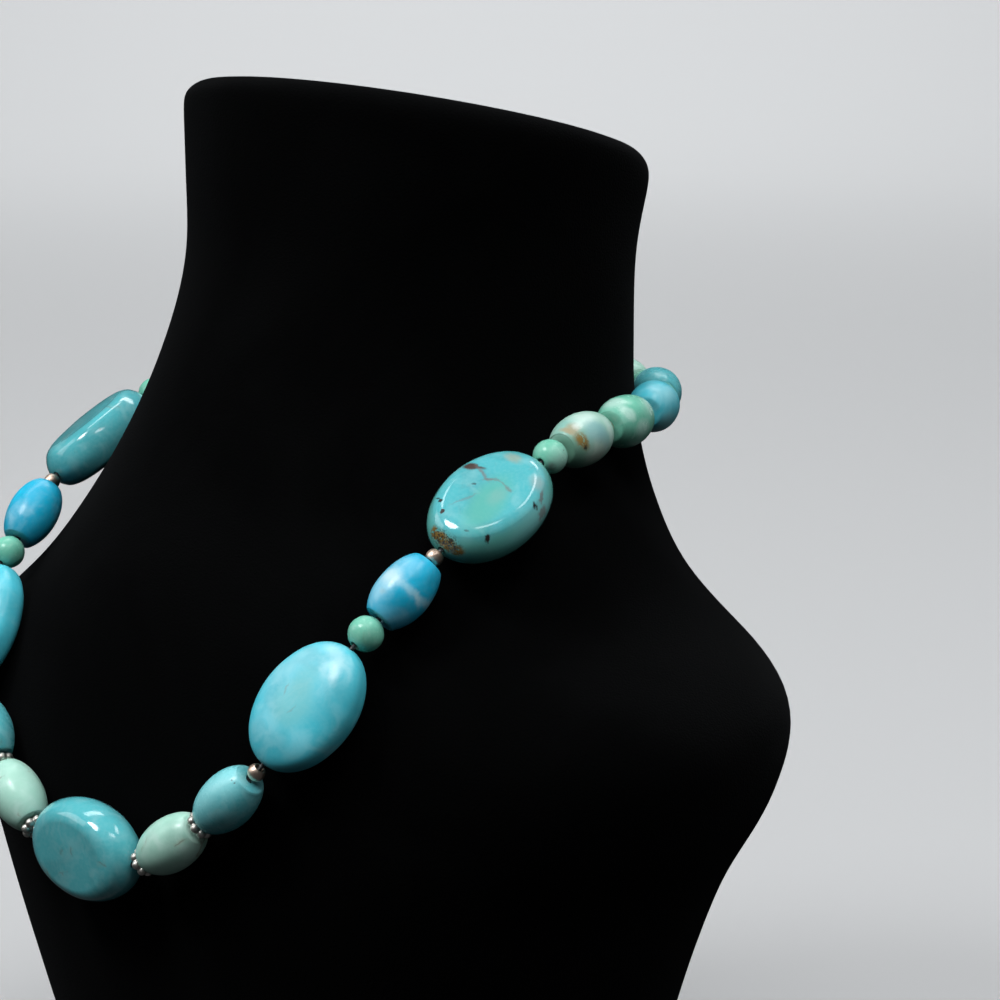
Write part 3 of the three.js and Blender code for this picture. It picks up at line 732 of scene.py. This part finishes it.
class NECKLACE_OT_stage(bpy.types.Operator):
    """Makes the floor, the backdrop, the lights and the camera"""
    bl_idname = "necklace.stage"
    bl_label = "Stage"

    def execute(self, context):
        stage = context.scene.necklace_stage
        self.add_floor(stage)
        self.add_camera(context, stage)
        self.add_lights(context, stage)
        return {"FINISHED"}

    def add_floor(self, stage):
        reach = stage.floor_reach
        height = stage.backdrop_height
        corner = 0.45 * height  # radius of the curve from floor to backdrop
        profile = [(0, 0), (0.5 * reach, 0), (reach, 0)]
        turns = 10
        for turn in range(1, turns + 1):
            angle = 0.5 * math.pi * turn / turns
            profile.append((reach + corner * math.sin(angle), corner * (1 - math.cos(angle))))
        profile.append((reach + corner, height))
        shape = spun(profile, UP, 96)
        bmesh.ops.reverse_faces(shape, faces=shape.faces)
        floor = finished_mesh(shape, "floor", Matrix.Identity(4))
        floor.data.materials.append(floor_material())
        floor.visible_diffuse = False
        floor.visible_glossy = False

    def add_camera(self, context, stage):
        azimuth, elevation = stage.camera_azimuth, stage.camera_elevation
        back = Vector((
            math.sin(azimuth) * math.cos(elevation),
            -math.cos(azimuth) * math.cos(elevation),
            math.sin(elevation),
        ))
        data = bpy.data.cameras.new("photo_camera")
        data.lens = stage.lens
        data.sensor_width = 36
        data.clip_start = 0.01
        data.clip_end = 50
        camera = bpy.data.objects.new("photo_camera", data)
        context.scene.collection.objects.link(camera)
        camera.location = stage.camera_place
        camera.rotation_euler = back.to_track_quat("Z", "Y").to_euler()
        context.scene.camera = camera

    def add_light(self, context, name, place, target, size, power, shape="RECTANGLE"):
        data = bpy.data.lights.new(name, "AREA")
        data.shape = shape
        data.size, data.size_y = size
        data.energy = power
        light = bpy.data.objects.new(name, data)
        context.scene.collection.objects.link(light)
        light.location = place
        light.rotation_euler = (Vector(place) - Vector(target)).to_track_quat("Z", "Y").to_euler()
        return light

    def add_lights(self, context, stage):
        strand = Vector((0.03, -0.03, 0.12))  # the middle of what the photograph shows of the beads
        key_place = strand + Vector((-0.2, -0.75, 1.1))
        self.add_light(context, "key", key_place, strand, (0.5, 0.42), stage.key_power, "ELLIPSE")
        # Where each strip hangs from the strand, and its length.
        strip_width = 0.22
        strips = {
            "left": ((-0.6, 0.15, 1.35), 1.0),
            "back": ((-0.43, 0.83, 1.17), 1.0),
            "right": ((0.42, 0.4, 1.36), 0.7),
            "front": ((0.66, -0.42, 1.3), 0.4),
        }
        for name, (offset, length) in strips.items():
            power = stage.rim_power * length
            size = (length, strip_width)
            self.add_light(context, name, strand + Vector(offset), strand, size, power)
        # Where each soft light stands from the strand, and its share of the power.
        side_size = (0.8, 0.7)
        sides = {
            "left_side": ((-0.85, -0.8, 0.65), 1.1),
            "right_side": ((0.95, 0.7, 0.65), 0.8),
            "front_side": ((0.65, -0.6, 1.1), 1.5),
        }
        for name, (offset, share) in sides.items():
            power = stage.side_power * share
            light = self.add_light(context, name, strand + Vector(offset), strand, side_size, power)
            light.visible_glossy = name == "left_side"
        # Where each light that faces straight down hangs from the strand, its side and its power.
        overhead = {
            "soft_top": ((0.25, -0.1, 1.3), 1.4, stage.top_power),
            "backdrop_light": ((-2.05, 2.2, 2.0), 2.2, stage.backdrop_power),
        }
        for name, (offset, side, power) in overhead.items():
            place = strand + Vector(offset)
            light = self.add_light(context, name, place, place - UP, (side, side), power)
            light.visible_glossy = False
        world = bpy.data.worlds.new("room")
        context.scene.world = world
        world.use_nodes = True
        background = next(node for node in world.node_tree.nodes if node.type == "BACKGROUND")
        background.inputs["Color"].default_value = (0.95, 0.97, 1, 1)
        background.inputs["Strength"].default_value = stage.ambient
        context.scene.view_settings.view_transform = "Standard"


class NECKLACE_OT_bust(bpy.types.Operator):
    """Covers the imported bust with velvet"""
    bl_idname = "necklace.bust"
    bl_label = "Velvet bust"

    def execute(self, context):
        bust = context.scene.necklace_bust
        shape = merged_copy("neck_bust")
        shape.normal_update()
        foot = bust_low.z + 0.02 * MILLIMETRE
        for vertex in shape.verts:
            if vertex.co.z > foot:
                vertex.co += vertex.normal * bust.pile
        bmesh.ops.join_triangles(
            shape, faces=shape.faces,
            angle_face_threshold=math.radians(30), angle_shape_threshold=math.radians(60),
        )
        piece = finished_mesh(shape, "velvet_bust", Matrix.Identity(4), math.pi)
        subdivision = piece.modifiers.new("skin", "SUBSURF")
        subdivision.levels = subdivision.render_levels = bust.smoothing
        adopted(applied(piece), "neck_bust", velvet_material())
        return {"FINISHED"}


class NECKLACE_OT_ovals(bpy.types.Operator):
    """Cuts the oval tablets, with their faces, shoulders and bores"""
    bl_idname = "necklace.ovals"
    bl_label = "Ovals"

    def execute(self, context):
        beads = context.scene.necklace_beads
        for node in nodes_with("oval"):
            place = bead_place(node)
            width, length, thickness, _ = bead_half_sizes(node, place)
            cut = self.pebble if "short" in node else self.tablet
            piece = finished_mesh(cut(node, beads, width, length, thickness), node + "_bead", place)
            self.drill(piece, place, length, beads.bore)
            polish = 0.1 if "short" in node else 0.65
            adopted(piece, node, stone_material(node, place, STONE_MARKS.get(node, ()), polish))
        return {"FINISHED"}

    def tablet(self, node, beads, width, length, thickness):
        """An oval with two gently crowned faces, rounded shoulders and a bulging wall."""
        rim = beads.face_share * width
        face = thickness - beads.crown
        face_rings, wall_rings = 6, 9
        profile = []
        for ring in range(face_rings + 1):
            share = ring / face_rings
            profile.append((rim * share, thickness - beads.crown * share ** 2))
        for ring in range(1, wall_rings):
            share = 1 - 2 * ring / wall_rings
            profile.append((bulge(share, width, rim), face * share))
        profile += [(radius, -level) for radius, level in reversed(profile[: face_rings + 1])]
        shape = spun(profile, UP, beads.steps)
        bevelled_rings(shape, UP, [(rim, face), (rim, -face)], beads.shoulder, 7)
        return self.stretched(shape, node, beads, width, length)

    def pebble(self, node, beads, width, length, thickness):
        """A puffed oval whose faces run into its wall without an edge."""
        rings = 40
        profile = []
        for ring in range(rings + 1):
            angle = math.pi * (0.5 - ring / rings)
            rise, reach = math.sin(angle), max(math.cos(angle), 0)
            level = math.copysign(abs(rise) ** (2 / beads.puff), rise)
            profile.append((width * reach ** (2 / beads.puff), thickness * level))
        return self.stretched(spun(profile, UP, beads.steps), node, beads, width, length)

    def stretched(self, shape, node, beads, width, length):
        bmesh.ops.scale(shape, vec=(1, length / width, 1), verts=shape.verts)
        uneven(shape, beads.hand_cut, node, 6 * MILLIMETRE)
        return shape

    def drill(self, piece, place, length, bore):
        reach = 1.2 * length
        profile = [(0, -reach), (bore / 2, -reach), (bore / 2, reach), (0, reach)]
        cutter = finished_mesh(spun(profile, THREAD_AXIS, 24), "drill", place)
        cut = piece.modifiers.new("bore", "BOOLEAN")
        cut.object = cutter
        cut.solver = "EXACT"
        applied(piece)
        bpy.data.objects.remove(cutter)
        piece.data.set_sharp_from_angle(angle=SHARP_ANGLE)


class NECKLACE_OT_barrels(bpy.types.Operator):
    """Turns the barrel beads"""
    bl_idname = "necklace.barrels"
    bl_label = "Barrels"

    def execute(self, context):
        rounding = context.scene.necklace_beads.end_rounding
        turned_stones("barrel", 21, rounding, 5 * MILLIMETRE)
        return {"FINISHED"}


class NECKLACE_OT_rounds(bpy.types.Operator):
    """Turns the small round beads"""
    bl_idname = "necklace.rounds"
    bl_label = "Round beads"

    def execute(self, context):
        rounding = 0.12 * MILLIMETRE
        turned_stones("round", 17, rounding, 3 * MILLIMETRE)
        return {"FINISHED"}


class NECKLACE_OT_spacers(bpy.types.Operator):
    """Turns the small metal balls"""
    bl_idname = "necklace.spacers"
    bl_label = "Spacers"

    def execute(self, context):
        copper = metal_material("copper", context.scene.necklace_colours.copper, 0.36, 0.2, 500.0)
        rounding = 0.08 * MILLIMETRE
        for node in nodes_with("spacer"):
            shape, place = drilled_bead(node, 13, rounding)
            adopted(finished_mesh(shape, node + "_bead", place), node, copper)
        return {"FINISHED"}


class NECKLACE_OT_daisies(bpy.types.Operator):
    """Fuses rings of silver grains into the flat spacers"""
    bl_idname = "necklace.daisies"
    bl_label = "Daisy spacers"

    def execute(self, context):
        silver = metal_material("antique_silver", context.scene.necklace_colours.silver, 0.38, 0.4, 900.0)
        for node in nodes_with("daisy"):
            adopted(self.daisy(context, node), node, silver)
        return {"FINISHED"}

    def daisy(self, context, node):
        """A drilled core with a ring of grains, and small grains on both faces between them."""
        place = bead_place(node)
        _, half, _, radius = bead_half_sizes(node, place)
        bore = context.scene.necklace_beads.bore / 2
        grains = 8
        grain = half * 0.98
        small_grain = 0.45 * grain
        small_level = 0.55 * half
        core = radius - 1.6 * grain
        face = 0.8 * half
        profile = [(bore, -face), (core, -face), (core + 0.4 * grain, 0), (core, face), (bore, face)]
        shape = spun(profile + profile[:1], THREAD_AXIS, 32)
        for index in range(grains):
            turn = Matrix.Rotation(2 * math.pi * index / grains, 4, THREAD_AXIS)
            half_turn = Matrix.Rotation(math.pi * (2 * index + 1) / grains, 4, THREAD_AXIS)
            balls = [
                (grain, turn, (radius - grain, 0, 0)),
                (small_grain, half_turn, (core, small_level, 0)),
                (small_grain, half_turn, (core, -small_level, 0)),
            ]
            for size, rotation, spot in balls:
                matrix = rotation @ Matrix.Translation(spot)
                bmesh.ops.create_icosphere(shape, subdivisions=3, radius=size, matrix=matrix)
        piece = finished_mesh(shape, node + "_bead", place, math.pi)
        fuse = piece.modifiers.new("fuse", "REMESH")
        fuse.mode = "VOXEL"
        fuse.voxel_size = 0.09 * MILLIMETRE
        fuse.use_smooth_shade = True
        return applied(piece)


class NECKLACE_OT_clasp(bpy.types.Operator):
    """Turns the plain barrel clasp"""
    bl_idname = "necklace.clasp"
    bl_label = "Clasp"

    def execute(self, context):
        node = "clasp"
        place = bead_place(node)
        _, half, _, radius = bead_half_sizes(node, place)
        end = end_radius_of(node, place)
        bore = context.scene.necklace_beads.bore / 2
        groove, lip, collar = 0.35 * MILLIMETRE, 0.25 * MILLIMETRE, 1.4 * MILLIMETRE
        edge_rounding = 0.1 * MILLIMETRE
        rings = 14
        shares = [ring / rings for ring in range(rings + 1)]
        outer = [(bulge(share, radius, end), share * half) for share in shares]
        # The right half, from the groove in the middle over the collar to the bottom of its hole.
        right = [(radius - groove, 0), (radius - groove, lip), (radius, 2 * lip)]
        right += [(r, level) for r, level in outer if 3 * lip < level < half - collar]
        right += [
            (end + lip, half - collar), (end + 1.4 * lip, half - 0.7 * collar), (end, half - 0.4 * collar),
            (end, half), (bore, half), (bore, 0.5 * half), (0, 0.5 * half),
        ]
        left = [(r, -level) for r, level in reversed(right[1:])]
        shape = spun(left + right, THREAD_AXIS, 48)
        edges = [(r, level * sign) for r, level in right[:3] + [(end, half)] for sign in (1, -1)]
        bevelled_rings(shape, THREAD_AXIS, edges, edge_rounding, 2)
        silver = metal_material("clasp_silver", context.scene.necklace_colours.silver, 0.42, 0.15, 500.0)
        adopted(finished_mesh(shape, "clasp_barrel", place), node, silver)
        return {"FINISHED"}


class NECKLACE_OT_thread(bpy.types.Operator):
    """Finishes the beading wire, whose solid stays"""
    bl_idname = "necklace.thread"
    bl_label = "Thread"

    def execute(self, context):
        thread = frame["nodes"]["thread"]
        thread.data.materials.clear()
        thread.data.materials.append(thread_material())
        return {"FINISHED"}


class NECKLACE_PT_panel(bpy.types.Panel):
    bl_label = "Turquoise Necklace"
    bl_idname = "NECKLACE_PT_panel"
    bl_space_type = "VIEW_3D"
    bl_region_type = "UI"
    bl_category = "Necklace"

    def draw(self, context):
        layout = self.layout
        for group, operators in PANEL_ROWS:
            settings = getattr(context.scene, group)
            box = layout.box()
            for name in settings.bl_rna.properties.keys():
                if name not in ("rna_type", "name"):
                    box.prop(settings, name)
            for operator in operators:
                box.operator(operator.bl_idname)


SETTINGS = {
    "necklace_stage": NecklaceStageSettings,
    "necklace_bust": NecklaceBustSettings,
    "necklace_beads": NecklaceBeadSettings,
    "necklace_colours": NecklaceColourSettings,
}
OPERATORS = [
    NECKLACE_OT_stage, NECKLACE_OT_bust, NECKLACE_OT_ovals, NECKLACE_OT_barrels, NECKLACE_OT_rounds,
    NECKLACE_OT_spacers, NECKLACE_OT_daisies, NECKLACE_OT_clasp, NECKLACE_OT_thread,
]
PANEL_ROWS = [
    ("necklace_stage", OPERATORS[:1]),
    ("necklace_bust", OPERATORS[1:2]),
    ("necklace_beads", OPERATORS[2:]),
    ("necklace_colours", []),
]


def register():
    for kind in [*SETTINGS.values(), *OPERATORS, NECKLACE_PT_panel]:
        bpy.utils.register_class(kind)
    for name, kind in SETTINGS.items():
        setattr(bpy.types.Scene, name, PointerProperty(type=kind))


def unregister():
    for name in SETTINGS:
        delattr(bpy.types.Scene, name)
    for kind in reversed([*SETTINGS.values(), *OPERATORS, NECKLACE_PT_panel]):
        bpy.utils.unregister_class(kind)


def main():
    register()
    bpy.ops.necklace.stage()
    bpy.ops.necklace.bust()
    bpy.ops.necklace.ovals()
    bpy.ops.necklace.barrels()
    bpy.ops.necklace.rounds()
    bpy.ops.necklace.spacers()
    bpy.ops.necklace.daisies()
    bpy.ops.necklace.clasp()
    bpy.ops.necklace.thread()


if __name__ == "__main__":
    main()
